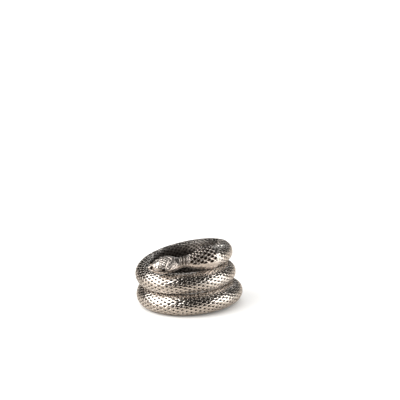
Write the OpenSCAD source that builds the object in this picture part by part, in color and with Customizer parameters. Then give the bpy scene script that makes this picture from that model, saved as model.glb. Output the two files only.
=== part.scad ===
// Wrap bracelet in the form of a coiled snake: a hollow tube of scale mesh between a cast head and a cast tail.
// It rests on its last turn as it would by itself. The origin is on the surface, under the middle of its box.

/* [Coil] */
// Radius of the tube's centre line in the middle turn
coil_r = 32.4; // [30:0.2:36]
// Growth of that radius with each turn towards the tail
flare = 1.7; // [1.5:0.1:3]
// Growth of the first and last turns over the middle one
bell = 1.5; // [0:0.25:1.5]
// Drop of the centre line in one turn
pitch = 16.7; // [16.7:0.1:19]
// Lean of the coil when it rests on its last turn, right side up
lean = 7.4; // [6.8:0.1:7.8]
// Depth by which the last turn is pressed flat where it touches the surface
press = 0.3; // [0.2:0.05:0.4]

/* [Mesh tube] */
// Outer diameter of the tube of scale mesh
tube_d = 16; // [14:0.5:16]
// Wall of the mesh
mesh_wall = 1.2; // [1:0.1:1.5]

/* [Castings] */
// Radial clearance between the mesh and the sockets that take it
socket_gap = 0.2; // [0.15:0.05:0.3]
// Length of mesh inside each socket, in degrees of the coil
socket_depth = 8; // [6:1:9]
// Depth by which the mesh is drawn in where it enters the tail
drawn_in = 0.8; // [0.7:0.1:1]

/* [Head] */
// Length of the head from the neck to the tip of the snout
head_len = 24.5; // [22:0.5:25]
// Largest half width of the head
head_half_w = 8.3; // [8:0.1:8.6]
// Angle by which the head points below the line of the coil
droop = 6.5; // [4:0.5:7]
// Angle by which it points out of the coil
sway = 6; // [4:1:8]
// Roll of the head, which turns its crown outwards
roll = 30; // [24:1:36]
// Radius of each eye
eye_r = 1.2; // [1.1:0.1:1.5]

/* [Hidden] */

// Angles along the coil count from the right side, in degrees. The coil falls as they grow.
neck_a = -94;
rim_a = -46;
tail_a = 734;
mesh_start_a = rim_a - socket_depth;
mesh_end_a = tail_a + socket_depth;
draw_in_span = 6;

tube_r = tube_d / 2;
ring_step = 8;
sides = 20;
eye_gap = 0.15;

// Each eye lies this far round from the widest line of the head towards the crown
eye_turn = 17;

// The top turn rises a little towards the cap, which is fatter than the mesh
rim_rise = 0.75;
rise_start_a = 20;

// Neck and cap, from the neck to the rim: angle, radius, lift above the coil's line, rib height
NECK = [
    [-94, 4.3, -0.7, 0],
    [-92.5, 4.3, -0.4, 0],
    [-91, 4.4, -0.1, 0.45],
    [-89.5, 4.4, 0.1, 0],
    [-88, 4.4, 0.3, 0.45],
    [-86.5, 4.4, 0.4, 0],
    [-85, 4.5, 0.45, 0.45],
    [-83.5, 4.6, 0.4, 0],
    [-80, 5.0, 0.05, 0],
    [-75, 5.7, -0.3, 0],
    [-69, 6.9, -0.15, 0],
    [-62, 8.2, 0.3, 0],
    [-54, 9.1, 0.4, 0],
    [-46, 9.3, 0.3, 0],
];

// Head: share of its length from the neck, share of its largest half width, height of crown, depth of chin,
// and lift of the middle
HEAD = [
    [1.00, 0.07, 0.35, 0.4, 0.4],
    [0.97, 0.22, 1.3, 1.5, 0.0],
    [0.90, 0.39, 2.7, 3.0, -0.4],
    [0.78, 0.60, 4.1, 4.4, -0.4],
    [0.64, 0.86, 5.1, 5.4, -0.3],
    [0.50, 1.00, 5.5, 5.8, -0.1],
    [0.36, 0.98, 5.5, 5.8, -0.1],
    [0.22, 0.78, 5.6, 5.8, -0.3],
    [0.10, 0.57, 5.1, 5.3, -0.6],
];
widest = HEAD[5];

// Tail: angle past its rim, share of the tube's radius
TAIL = [
    [0, 1.00],
    [14, 0.99],
    [21, 0.93],
    [28, 0.83],
    [35, 0.70],
    [42, 0.56],
    [49, 0.42],
    [55, 0.29],
    [59, 0.19],
    [61, 0.12],
    [62, 0.05],
];
tail_tip_a = tail_a + TAIL[len(TAIL) - 1][0];

function unit(v) = v / norm(v);

// The coil's centre line as it would hang free: its radius, its height and the radius of what surrounds it
function line_r(a) = let (turn = a / 360 - 1) coil_r + flare * turn + bell * turn * turn;
function rise(a) = rim_rise * (1 - cos(180 * min(1, max(0, (rise_start_a - a) / (rise_start_a - rim_a))))) / 2;
function free_z(a) = rise(a) - pitch * (a / 360 - 1);
function outer_r(a) = a < tail_a ? tube_r : tube_r * lookup(a - tail_a, TAIL);

// The surface it rests on, seen from the upright coil. The last turn lies on it where it would sink below.
function clear_of(a) = free_z(a) - tube_r / cos(lean) + line_r(a) * cos(a) * tan(lean);
surface_h = min([for (a = [540 : 1 : 620]) clear_of(a)]) + press;
function lying_z(a) = surface_h + outer_r(a) / cos(lean) - line_r(a) * cos(a) * tan(lean);
softness = 0.15;
function above_zero(x) = x > 5 ? x : softness * ln(1 + exp(x / softness));
function line_z(a) = a < 450 ? free_z(a) : lying_z(a) + above_zero(free_z(a) - lying_z(a));

// A point of the centre line, its direction towards the tail, and the two directions across it
function coil(a) = [line_r(a) * cos(a), line_r(a) * sin(a), line_z(a)];
function along(a) = unit(coil(a + 0.5) - coil(a - 0.5));
function upward(a) = unit(cross([cos(a), sin(a), 0], along(a)));
function outward(a) = cross(along(a), upward(a));

// Turns a point with the resting coil
function leaned(p) = [p.x * cos(lean) - p.z * sin(lean), p.y, p.x * sin(lean) + p.z * cos(lean)];

// A closed loop of points round a centre: half width w, height above t, depth below b
function round_section(c, side, up, w, t, b) = [
    for (k = [0 : sides - 1])
        let (f = 360 * k / sides)
        c + w * cos(f) * side + (sin(f) > 0 ? t : b) * sin(f) * up
];
function tube_section(a, r, lift = 0) =
    round_section(coil(a) + lift * upward(a), outward(a), upward(a), r, r, r);

// The mesh keeps its radius up to a little before the tail, where it is drawn in to enter the socket
draw_in_a = tail_a - draw_in_span;
function mesh_r(a) = a > draw_in_a ? tube_r - drawn_in : tube_r;
even_steps = ceil((draw_in_a - mesh_start_a) / ring_step);
stations = concat(
    [for (i = [0 : even_steps]) mesh_start_a + (draw_in_a - mesh_start_a) * i / even_steps],
    [tail_a - 1, tail_a + socket_depth / 2, mesh_end_a]
);

// The sections that reach farthest out and down, and the point of the surface under the middle of their box
mesh_outside = [for (a = stations) tube_section(a, mesh_r(a))];
tail_outside = [for (row = TAIL) tube_section(tail_a + row[0], tube_r * row[1])];
skin_points = [for (s = concat(mesh_outside, tail_outside), p = s) leaned(p)];
function ends(k) = let (v = [for (p = skin_points) p[k]]) [min(v), max(v)];
function middle(k) = (ends(k)[0] + ends(k)[1]) / 2;
seat = [middle(0), middle(1), ends(2)[0]];

// The head's own directions at the neck: towards the snout, to the outer side, and up
neck_point = coil(neck_a);
forward = -cos(droop) * along(neck_a) - sin(droop) * upward(neck_a);
snoutward = cos(sway) * forward + sin(sway) * outward(neck_a);
head_up = unit(cross(outward(neck_a), -snoutward));
head_side = cross(-snoutward, head_up);
function head_point(share, side, up) =
    neck_point + share * head_len * snoutward + side * head_side + up * head_up;

// The head's sections are ovals, rolled about its middle. From there, a point of an oval is this far off.
function oval_r(f, w, t, b) = 1 / norm([cos(f) / w, sin(f) / (sin(f) > 0 ? t : b)]);
function head_section(row) = [
    for (k = [0 : sides - 1])
        let (f = 360 * k / sides)
        let (r = oval_r(f + roll, row[1] * head_half_w, row[2], row[3]))
        head_point(row[0], r * cos(f), row[4] + r * sin(f))
];

// A skin over sections that follow each other. Looped, it closes on itself, and otherwise its two ends are filled.
module skin(sections, looped = false) {
    n = len(sections[0]);
    m = len(sections);
    steps = looped ? m : m - 1;
    points = [for (s = sections) each s];
    sides = [
        for (i = [0 : steps - 1], k = [0 : n - 1])
            let (j = (i + 1) % m, l = (k + 1) % n)
            each [[i * n + k, j * n + l, i * n + l], [i * n + k, j * n + k, j * n + l]]
    ];
    first = [for (k = [1 : n - 2]) [0, k, k + 1]];
    last = [for (k = [1 : n - 2]) [(m - 1) * n, (m - 1) * n + k + 1, (m - 1) * n + k]];
    polyhedron(points, looped ? sides : concat(sides, first, last));
}

// Sets the coil down on the surface
module rested() {
    translate(-seat) rotate([0, -lean, 0]) children();
}

// An eye, turn degrees round from the outer side of the unrolled head
module eye_ball(turn, gap) {
    eye_share = 0.52;
    eye_sink = 0.8;
    out = oval_r(turn, head_half_w, widest[2], widest[3]) - eye_sink;
    translate(head_point(eye_share, out * cos(turn - roll), widest[4] + out * sin(turn - roll)))
        sphere(r = eye_r + gap, $fn = 32);
}

module snake_head() {
    socket_r = tube_r + socket_gap;
    floor_a = mesh_start_a - 0.4;
    outside = concat(
        [for (row = HEAD) head_section(row)],
        [for (row = NECK) tube_section(row[0], row[1] + row[3], row[2])]
    );
    socket = [for (i = [0 : 3]) tube_section(rim_a + (floor_a - rim_a) * i / 3, socket_r)];
    color("silver") rested() difference() {
        skin(concat(outside, socket));
        eye_ball(eye_turn, eye_gap);
        eye_ball(180 - eye_turn, eye_gap);
    }
}

module eye_near() {
    color("black") rested() eye_ball(eye_turn, 0);
}

module eye_far() {
    color("black") rested() eye_ball(180 - eye_turn, 0);
}

module mesh_tube() {
    inner = [for (i = [len(stations) - 1 : -1 : 0]) tube_section(stations[i], mesh_r(stations[i]) - mesh_wall)];
    color("gainsboro") rested() skin(concat(mesh_outside, inner), looped = true);
}

module tail_cap() {
    socket_r = tube_r - drawn_in + socket_gap;
    floor_a = mesh_end_a + 0.4;
    socket = [for (i = [0 : 3]) tube_section(floor_a + (tail_a - floor_a) * i / 3, socket_r)];
    color("silver") rested() skin(concat(socket, tail_outside));
}

snake_head();
eye_near();
eye_far();
mesh_tube();
tail_cap();
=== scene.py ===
# %% [markdown]
# # A coiled snake bracelet in scale mesh
#
# This bracelet is a sleeve of small metal scales. A cast snake head with a ribbed neck and a flared cap
# closes its upper end, and a plain cast tail the lower one. Together they go two and a half times round.
#
# The imported CAD model is the frame that everything hangs on. We load it first.

import math

import bpy
import numpy as np
from mathutils import Matrix, Vector


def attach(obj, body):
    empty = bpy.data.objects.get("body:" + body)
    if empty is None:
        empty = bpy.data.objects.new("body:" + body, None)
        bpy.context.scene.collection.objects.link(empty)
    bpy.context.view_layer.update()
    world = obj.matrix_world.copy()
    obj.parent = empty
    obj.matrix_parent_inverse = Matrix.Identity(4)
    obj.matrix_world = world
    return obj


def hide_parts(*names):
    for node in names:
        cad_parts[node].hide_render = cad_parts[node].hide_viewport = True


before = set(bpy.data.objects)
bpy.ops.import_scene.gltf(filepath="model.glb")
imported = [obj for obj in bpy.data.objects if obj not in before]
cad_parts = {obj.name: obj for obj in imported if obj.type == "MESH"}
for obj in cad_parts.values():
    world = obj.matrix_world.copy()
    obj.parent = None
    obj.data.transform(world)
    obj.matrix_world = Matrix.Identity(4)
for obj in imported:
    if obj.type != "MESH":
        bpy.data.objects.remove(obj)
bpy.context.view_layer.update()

# %% [markdown]
# ## The line of the coil
#
# Every piece follows one line: a helix that is widest in its last turn, leans to one side, and lies flat on
# the table with that turn. We could draw such a line as a curve, point by point. It is a rule, though, so we
# write it as one, with the same numbers as the CAD model. They are millimetres and degrees. Angles along the
# coil start at the right side and grow towards the tail, and the coil falls as they grow.

# %% The coil's numbers
MM = 0.001

# Radii of the tube and the coil, growth of the coil's radius a turn and towards both ends, and fall in a turn
TUBE_R = 8.0
COIL_R = 32.4
FLARE = 1.7
BELL = 1.5
PITCH = 16.7

# Lean of the coil at rest, and how deep its last turn is pressed flat
LEAN = math.radians(7.4)
PRESS = 0.3

# Angles of the neck and of the two rims, and how far the mesh goes into the castings, in degrees too
NECK_A = -94.0
RIM_A = -46.0
TAIL_A = 734.0
SOCKET_DEPTH = 8.0

# The top turn rises a little towards the cap, and the last turn settles softly on the table
RIM_RISE = 0.75
RISE_START_A = 20.0
LYING_FROM_A = 450.0
SOFTNESS = 0.15

# Tail: angle past its rim, share of the tube's radius
TAIL = np.array([[0, 1.00], [14, 0.99], [21, 0.93], [28, 0.83], [35, 0.70], [42, 0.56],
                 [49, 0.42], [55, 0.29], [59, 0.19], [61, 0.12], [62, 0.05]])
print("drop of the coil over the mesh, mm:", round(PITCH * (TAIL_A - RIM_A) / 360, 1))


# %% The upright line
def cosd(a):
    return np.cos(np.radians(a))


def sind(a):
    return np.sin(np.radians(a))


def unit(v):
    return v / np.linalg.norm(v, axis=-1, keepdims=True)


def line_radius(a):
    turn = a / 360 - 1
    return COIL_R + FLARE * turn + BELL * turn ** 2


def free_height(a):
    rise = np.clip((RISE_START_A - a) / (RISE_START_A - RIM_A), 0, 1)
    return RIM_RISE * (1 - np.cos(np.pi * rise)) / 2 - PITCH * (a / 360 - 1)


def body_radius(a):
    return np.where(a < TAIL_A, TUBE_R, TUBE_R * np.interp(a - TAIL_A, TAIL[:, 0], TAIL[:, 1]))


low_side = np.arange(540, 621, 1.0)
TABLE_H = PRESS + (free_height(low_side) - TUBE_R / math.cos(LEAN)
                   + line_radius(low_side) * cosd(low_side) * math.tan(LEAN)).min()


def line_height(a):
    """The height of the upright coil's line. The last turn lies on the table where it would sink below."""
    lying = TABLE_H + body_radius(a) / math.cos(LEAN) - line_radius(a) * cosd(a) * math.tan(LEAN)
    over = free_height(a) - lying
    return np.where(a < LYING_FROM_A, free_height(a), lying + SOFTNESS * np.logaddexp(0, over / SOFTNESS))


def upright(a):
    return np.stack([line_radius(a) * cosd(a), line_radius(a) * sind(a), line_height(a)], -1)


print("table below the middle of the upright coil, mm:", round(-float(TABLE_H), 2))

# %% The line at rest
# The CAD model's origin in the leaned coil's numbers, to 0.03 mm: on the table, under the middle of its box
SEAT = np.array([2.3957, -0.8211, -21.1240])


def leaned(p):
    x = p[..., 0] * math.cos(LEAN) - p[..., 2] * math.sin(LEAN)
    z = p[..., 0] * math.sin(LEAN) + p[..., 2] * math.cos(LEAN)
    return np.stack([x, p[..., 1], z], -1)


def coil(a):
    """Centre, direction, outward and upward of the resting coil at the angles a."""
    a = np.asarray(a, float)
    along = unit(upright(a + 0.5) - upright(a - 0.5))
    radial = np.stack([cosd(a), sind(a), 0 * a], -1)
    up = unit(np.cross(radial, along))
    out = np.cross(along, up)
    return leaned(upright(a)) - SEAT, leaned(along), leaned(out), leaned(up)


def ring_points(a, radius, around, lift=0.0):
    """Closed rings of points round the coil's line, one for each angle, with their radius and lift."""
    centre, _, out, up = coil(a)
    radius = np.broadcast_to(radius, np.shape(a))
    lift = np.broadcast_to(lift, np.shape(a))
    turn = 2 * np.pi * np.arange(around) / around
    spoke = np.cos(turn)[None, :, None] * out[:, None] + np.sin(turn)[None, :, None] * up[:, None]
    return (centre + lift[:, None] * up)[:, None] + radius[:, None, None] * spoke


print("line at the cap's rim, mm:", coil(RIM_A)[0].round(1))

# %% Measure along the line
PAST_ENDS = 14
FINE_STEP = 0.25

fine_a = np.arange(RIM_A - PAST_ENDS, TAIL_A + PAST_ENDS, FINE_STEP)
fine_length = np.concatenate([[0], np.cumsum(np.linalg.norm(np.diff(coil(fine_a)[0], axis=0), axis=1))])


def length_at(a):
    """Length of the line in mm, from a little before the cap's rim."""
    return float(np.interp(a, fine_a, fine_length))


print("length of mesh that shows, mm:", round(length_at(TAIL_A) - length_at(RIM_A)))

# %% [markdown]
# ## Helpers for nodes and meshes
#
# Trees of nodes are long to write, so one helper adds a node, sets it up and joins what feeds it. A few
# short ones stand for the nodes that come back most often. Another helper puts a skin over a stack of
# closed sections, which is how the castings and the lining are made.


# %% Helpers for nodes
def feed(tree, node, values):
    """Sets a node's inputs, by name or number, to values or joins them to another node's output."""
    for key, value in values.items():
        if isinstance(value, bpy.types.NodeSocket):
            tree.links.new(value, node.inputs[key])
        else:
            node.inputs[key].default_value = value


def add(tree, kind, values=None, **settings):
    """Adds a node, sets it up and feeds it."""
    node = tree.nodes.new(kind)
    for name, value in settings.items():
        setattr(node, name, value)
    feed(tree, node, values or {})
    return node


def open_sockets(sockets):
    """The sockets that a node shows with its present settings."""
    return [s for s in sockets if s.enabled]


def calc(tree, operation, a, b=0.0):
    return add(tree, "ShaderNodeMath", {0: a, 1: b}, operation=operation).outputs[0]


def plus(tree, a, b):
    return calc(tree, "ADD", a, b)


def times(tree, a, b):
    return calc(tree, "MULTIPLY", a, b)


def scaled(tree, vector, factor):
    return add(tree, "ShaderNodeVectorMath", {0: vector, "Scale": factor}, operation="SCALE").outputs[0]


def fade(tree, value, start, end, kind="SMOOTHSTEP"):
    """A number that is 0 before start and 1 beyond end."""
    return add(tree, "ShaderNodeMapRange", {"Value": value, "From Min": start, "From Max": end},
               interpolation_type=kind).outputs[0]


def mixed_colour(tree, share, first, second):
    return add(tree, "ShaderNodeMix", {0: share, 6: first, 7: second}, data_type="RGBA").outputs[2]


# %% Helper for node groups
SOCKET_KINDS = {float: "Float", int: "Int", tuple: "Color"}


def new_group(kind, name, inputs, outputs):
    """A group and its two end nodes. Each input is named with its first value or, lacking one, its kind."""
    tree = bpy.data.node_groups.new(name, kind)
    for label, given in inputs.items():
        bare = isinstance(given, str)
        socket_type = "NodeSocket" + (given if bare else SOCKET_KINDS[type(given)])
        made = tree.interface.new_socket(label, in_out="INPUT", socket_type=socket_type)
        if not bare:
            made.default_value = given
    for label, socket_kind in outputs.items():
        tree.interface.new_socket(label, in_out="OUTPUT", socket_type="NodeSocket" + socket_kind)
    return tree, add(tree, "NodeGroupInput").outputs, add(tree, "NodeGroupOutput")


# %% Helpers for meshes
def new_object(name, points, faces, material=None):
    """A smooth object from points in millimetres and a list of faces."""
    mesh = bpy.data.meshes.new(name)
    mesh.from_pydata((np.asarray(points) * MM).tolist(), [], faces)
    mesh.polygons.foreach_set("use_smooth", [True] * len(mesh.polygons))
    mesh.update()
    made = bpy.data.objects.new(name, mesh)
    bpy.context.scene.collection.objects.link(made)
    if material:
        mesh.materials.append(material)
    return made


def skin_faces(rows, around, first_open=False, last_open=False):
    """Faces over a stack of rows, each with the same number of points, wound so that they point outwards."""
    i, k = np.meshgrid(np.arange(rows - 1), np.arange(around), indexing="ij")
    here, across = i * around + k, i * around + (k + 1) % around
    faces = np.stack([here, here + around, across + around, across], -1).reshape(-1, 4).tolist()
    if not first_open:
        faces.append(list(range(around)))
    if not last_open:
        faces.append([(rows - 1) * around + k for k in reversed(range(around))])
    return faces


def tip_faces(rows, around):
    """Triangles from the last row of a stack to one point that comes after all the rows."""
    last = (rows - 1) * around
    return [[last + (k + 1) % around, last + k, rows * around] for k in range(around)]


def set_values(piece, name, values):
    """Stores one number a point on a piece, for its material to read."""
    attribute = piece.data.attributes.new(name, "FLOAT", "POINT")
    attribute.data.foreach_set("value", np.asarray(values, np.float32).ravel())


# %% [markdown]
# ## One scale
#
# Seen close, the sleeve is made of small rhombic plates. Four plates meet at each corner, and a round hole
# is left there. A plate could be a plain diamond with a picture of the holes on it, but the holes are what
# the eye reads as snake skin, so each plate is cut out round its four corners and domed a little. It is a
# flat piece with few faces, because it is repeated over 2,500 times. The nodes below bend it onto the tube.

# %% Cut one scale
COLUMNS = 16
PLATE_HALF_LENGTH = 2.84
PLATE_HALF_WIDTH = math.pi * TUBE_R / COLUMNS
HOLE_R = 0.7
SEAM = 0.032
DOME = 0.1
PLATE_EDGE = 0.42
SKIN_R = TUBE_R + 0.25
NEAR_SIDE = 0.985

# Rings of the plate from its lower edge inwards: share of the outline, height, how polished it is
PLATE_RINGS = [(1.0, -PLATE_EDGE, 0.0), (0.988, 0.0, 0.45), (0.92, 0.5 * DOME, 0.9), (0.5, 0.9 * DOME, 1.0)]


def scale_outline():
    """The rhombus with a bite at each corner, as points in order."""
    a, b = PLATE_HALF_LENGTH, PLATE_HALF_WIDTH
    tip = math.atan2(b, a)
    quarter = math.pi / 2
    bites = [((a, 0), 2 * quarter, tip, 3), ((0, b), -quarter, quarter - tip, 5),
             ((-a, 0), 0.0, tip, 3), ((0, -b), quarter, quarter - tip, 5)]
    points = []
    for corner, turn, half, steps in bites:
        for k in range(steps):
            angle = turn + half - 2 * half * k / (steps - 1)
            points.append([corner[0] + HOLE_R * math.cos(angle), corner[1] + HOLE_R * math.sin(angle)])
    points = np.array(points)
    on_side = np.abs(points[:, 0]) / a + np.abs(points[:, 1]) / b > NEAR_SIDE
    return points * (1 - SEAM * on_side)[:, None]


def make_scale():
    rim = scale_outline()
    n = len(rim)
    points = [[x * share, y * share, z] for share, z, _ in PLATE_RINGS for x, y in rim]
    faces = skin_faces(len(PLATE_RINGS), n, True, True) + tip_faces(len(PLATE_RINGS), n)
    scale = new_object("one_scale", points + [[0, 0, DOME]], [list(reversed(f)) for f in faces])
    set_values(scale, "worn", [polish for _, _, polish in PLATE_RINGS for _ in rim] + [1.0])
    return scale


one_scale = make_scale()
print("faces of one scale:", len(one_scale.data.polygons))

# %% [markdown]
# ## The path as points
#
# Geometry Nodes can only read what a mesh carries. So the coil's line goes into a mesh of bare points, one
# every quarter of a millimetre, with the outward and upward directions and the sleeve's radius on each.

# %% Lay the path
PATH_STEP = 0.25
DRAW_IN_A = TAIL_A - 6
DRAWN_IN = 0.8


def drawn_in_at(a):
    """How much thinner the sleeve is at the angles a, because it is drawn in to enter the tail."""
    return np.interp(a, [DRAW_IN_A, TAIL_A - 1], [0, DRAWN_IN])


def lay_path():
    a = np.interp(np.arange(0, fine_length[-1], PATH_STEP), fine_length, fine_a)
    centre, _, out, up = coil(a)
    path = new_object("path", centre, [])
    for name, values in (("out", out), ("up", up)):
        path.data.attributes.new(name, "FLOAT_VECTOR", "POINT").data.foreach_set("vector", values.ravel())
    set_values(path, "reach", (SKIN_R - DOME - drawn_in_at(a)) * MM)
    return path


path = lay_path()
print("points on the path:", len(path.data.vertices))

# %% [markdown]
# ## The tree that clothes the tube
#
# Placing scales one by one on a curved tube would need a position, a turn and a bend for each. It is simpler
# to lay them out flat, like a pattern on a cutting table, and then to roll the whole sheet onto the path:
#
# - points are counted off into rings of sixteen, every second ring shifted by half a scale
# - one scale is put on each, with a small random tilt, because no two links of real mesh lie quite the same
# - the flat sheet is wrapped: its x becomes the place along the path, its y the angle round the tube, and
#   its z the height above the tube
#
# The wrap also says what lies on the inside of the coil. Those scales are given a darker, rougher finish
# there, which is painted shade for the little light that reaches the inside of the coil.

# %% Wrap a flat sheet round the path
# How far outwards the skin faces, from 1 outside to -1 inside, where the inside begins and where it is full
INSIDE_FROM = 0.1
INSIDE_FULL = -0.75


def stored(tree, name, kind="FLOAT"):
    """What a mesh carries under this name."""
    return add(tree, "GeometryNodeInputNamedAttribute", {"Name": name}, data_type=kind).outputs["Attribute"]


def build_wrap_group():
    """Turns a flat position into one on the tube, and says how far it is on the coil's inside."""
    tree, given, end = new_group(
        "GeometryNodeTree", "Wrap round the path",
        {"Path": "Geometry", "Flat": "Vector", "Path Step": 0.001, "Metres A Radian": 0.008,
         "Twist": 0.0, "Start Turn": 0.0},
        {"Position": "Vector", "Inside": "Float"})
    flat = add(tree, "ShaderNodeSeparateXYZ", {0: given["Flat"]}).outputs
    steps = calc(tree, "DIVIDE", flat["X"], given["Path Step"])
    before = calc(tree, "FLOOR", steps)
    share = calc(tree, "FRACT", steps)
    turned = plus(tree, times(tree, flat["X"], given["Twist"]), given["Start Turn"])
    angle = plus(tree, calc(tree, "DIVIDE", flat["Y"], given["Metres A Radian"]), turned)

    def from_path(value, kind="FLOAT_VECTOR", mix_kind="VECTOR"):
        """What the path carries here, between its nearest two points."""
        ends = [add(tree, "GeometryNodeSampleIndex",
                    {"Geometry": given["Path"], "Value": value, "Index": plus(tree, before, step)},
                    data_type=kind, domain="POINT").outputs[0] for step in (0.0, 1.0)]
        mix = add(tree, "ShaderNodeMix", data_type=mix_kind)
        for socket, source in zip(open_sockets(mix.inputs), (share, *ends)):
            tree.links.new(source, socket)
        return open_sockets(mix.outputs)[0]

    centre = from_path(add(tree, "GeometryNodeInputPosition").outputs[0])
    out = from_path(stored(tree, "out", "FLOAT_VECTOR"))
    up = from_path(stored(tree, "up", "FLOAT_VECTOR"))
    radius = plus(tree, from_path(stored(tree, "reach"), "FLOAT", "FLOAT"), flat["Z"])
    outwards = calc(tree, "COSINE", angle)
    spoke = add(tree, "ShaderNodeVectorMath",
                {0: scaled(tree, out, outwards), 1: scaled(tree, up, calc(tree, "SINE", angle))}).outputs[0]
    moved = add(tree, "ShaderNodeVectorMath", {0: centre, 1: scaled(tree, spoke, radius)}).outputs[0]
    feed(tree, end, {"Position": moved, "Inside": fade(tree, outwards, INSIDE_FROM, INSIDE_FULL)})
    return tree


wrap_group = build_wrap_group()
print("nodes in the wrap group:", len(wrap_group.nodes))


# %% The tree of scales
def build_scale_tree():
    tree, given, end = new_group(
        "GeometryNodeTree", "Clothe the path in scales",
        {"Path": "Geometry", "Scale": "Object", "Rings": 10, "Columns": 16, "First Ring": 0,
         "Ring Spacing": 0.003, "Column Spacing": 0.003, "Path Step": 0.001, "Metres A Radian": 0.008,
         "Twist": 0.0, "Start Turn": 0.0, "Phase": 0.0, "Tip Lift": 0.0, "Tilt": 0.0, "Inside Shade": 0.0,
         "Seed": 1, "Material": "Material"},
        {"Scales": "Geometry"})

    # Count the points off into rings on the flat sheet
    count = times(tree, given["Rings"], given["Columns"])
    index = add(tree, "GeometryNodeInputIndex").outputs[0]
    own_ring = calc(tree, "FLOOR", calc(tree, "DIVIDE", plus(tree, index, 0.5), given["Columns"]))
    column = calc(tree, "SUBTRACT", index, times(tree, own_ring, given["Columns"]))
    ring = plus(tree, own_ring, given["First Ring"])
    half_shift = times(tree, calc(tree, "MODULO", ring, 2.0), 0.5)
    place = add(tree, "ShaderNodeCombineXYZ", {
        "X": plus(tree, times(tree, ring, given["Ring Spacing"]), given["Phase"]),
        "Y": times(tree, plus(tree, column, half_shift), given["Column Spacing"])}).outputs[0]
    points = add(tree, "GeometryNodePoints", {"Count": count, "Position": place}).outputs[0]
    own = add(tree, "FunctionNodeRandomValue", {"Seed": given["Seed"]}, data_type="FLOAT")
    marked = add(tree, "GeometryNodeStoreNamedAttribute",
                 {"Geometry": points, "Name": "own_shade", "Value": open_sockets(own.outputs)[0]},
                 data_type="FLOAT", domain="POINT").outputs[0]

    # Tilt each scale at random, and lift the tips of all of them
    most = add(tree, "ShaderNodeCombineXYZ", {"X": given["Tilt"], "Y": given["Tilt"], "Z": 0.0}).outputs[0]
    tilt = add(tree, "FunctionNodeRandomValue", {"Seed": plus(tree, given["Seed"], 7.0)},
               data_type="FLOAT_VECTOR")
    for socket, source in zip(open_sockets(tilt.inputs)[:2], (scaled(tree, most, -1.0), most)):
        tree.links.new(source, socket)
    lifted = add(tree, "ShaderNodeCombineXYZ", {"X": 0.0, "Y": times(tree, given["Tip Lift"], -1.0)})
    turn = add(tree, "ShaderNodeVectorMath", {0: open_sockets(tilt.outputs)[0], 1: lifted.outputs[0]})
    as_turn = add(tree, "FunctionNodeEulerToRotation", {0: turn.outputs[0]}).outputs[0]

    # Put the scales down, wrap the sheet and darken what lies inside with painted shade
    scale = add(tree, "GeometryNodeObjectInfo", {"Object": given["Scale"]}, transform_space="ORIGINAL")
    put = add(tree, "GeometryNodeInstanceOnPoints",
              {"Points": marked, "Instance": scale.outputs["Geometry"], "Rotation": as_turn}).outputs[0]
    real = add(tree, "GeometryNodeRealizeInstances", {0: put}).outputs[0]
    wrap = add(tree, "GeometryNodeGroup", node_tree=wrap_group)
    shared = ("Path", "Path Step", "Metres A Radian", "Twist", "Start Turn")
    feed(tree, wrap, {"Flat": add(tree, "GeometryNodeInputPosition").outputs[0],
                      **{label: given[label] for label in shared}})
    # Scales on the coil's inside get a darker, rougher finish here: painted shade.
    kept = calc(tree, "SUBTRACT", 1.0, times(tree, wrap.outputs["Inside"], given["Inside Shade"]))
    shaded_inside = add(tree, "GeometryNodeStoreNamedAttribute",
                 {"Geometry": real, "Name": "worn", "Value": times(tree, stored(tree, "worn"), kept)},
                 data_type="FLOAT", domain="POINT").outputs[0]
    bent = add(tree, "GeometryNodeSetPosition", {"Geometry": shaded_inside, "Position": wrap.outputs[0]}).outputs[0]
    smooth = add(tree, "GeometryNodeSetShadeSmooth", {0: bent}).outputs[0]
    painted = add(tree, "GeometryNodeSetMaterial", {"Geometry": smooth, "Material": given["Material"]})
    feed(tree, end, {"Scales": painted.outputs[0]})
    return tree


scale_tree = build_scale_tree()
print("nodes in the scale tree:", len(scale_tree.nodes))

# %% [markdown]
# ## Finishes as node groups
#
# Every metal part of the bracelet has the same finish: bright metal, darkened by the maker with a black or
# brown bath and then polished again, so that the dark stays in the hollows. The pieces carry a number for it,
# from 0 in a hollow to 1 on what stands out. On the scales the same number also darkens the inside of the
# coil, which is painted shade. One group turns it into colour and roughness, and each material gives that
# group its own values. A second group adds the fine scratches that handling leaves.


# %% The antique finish
def build_finish_group():
    tree, given, end = new_group(
        "ShaderNodeTree", "Antique finish",
        {"Wear And Shade": 1.0, "Bright": (0.8, 0.76, 0.71, 1), "Dark": (0.06, 0.045, 0.035, 1), "Cut": 0.5,
         "Spread": 0.2, "Mottle Scale": 300.0, "Mottle": 0.15, "Smooth": 0.2, "Dull": 0.55},
        {"Color": "Color", "Roughness": "Float"})
    where = add(tree, "ShaderNodeTexCoord").outputs["Object"]
    cloud = add(tree, "ShaderNodeTexNoise", {"Vector": where, "Scale": given["Mottle Scale"], "Detail": 4.0,
                                             "Roughness": 0.6}).outputs["Fac"]
    drift = times(tree, calc(tree, "SUBTRACT", cloud, 0.5), given["Mottle"])
    low = calc(tree, "SUBTRACT", given["Cut"], given["Spread"])
    high = plus(tree, given["Cut"], given["Spread"])
    polish = fade(tree, plus(tree, given["Wear And Shade"], drift), low, high)
    rough = add(tree, "ShaderNodeMapRange",
                {"Value": polish, "To Min": given["Dull"], "To Max": given["Smooth"]}).outputs[0]
    feed(tree, end, {"Color": mixed_colour(tree, polish, given["Dark"], given["Bright"]), "Roughness": rough})
    return tree


finish_group = build_finish_group()
print("nodes in the finish:", len(finish_group.nodes))

# %% The fine scratches
SCRATCH_STRETCH = (1, 0.12, 0.5)
SCRATCH_TURN = (0.3, 0.5, 0.8)
SCRATCH_DEPTH_M = 0.00004


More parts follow.
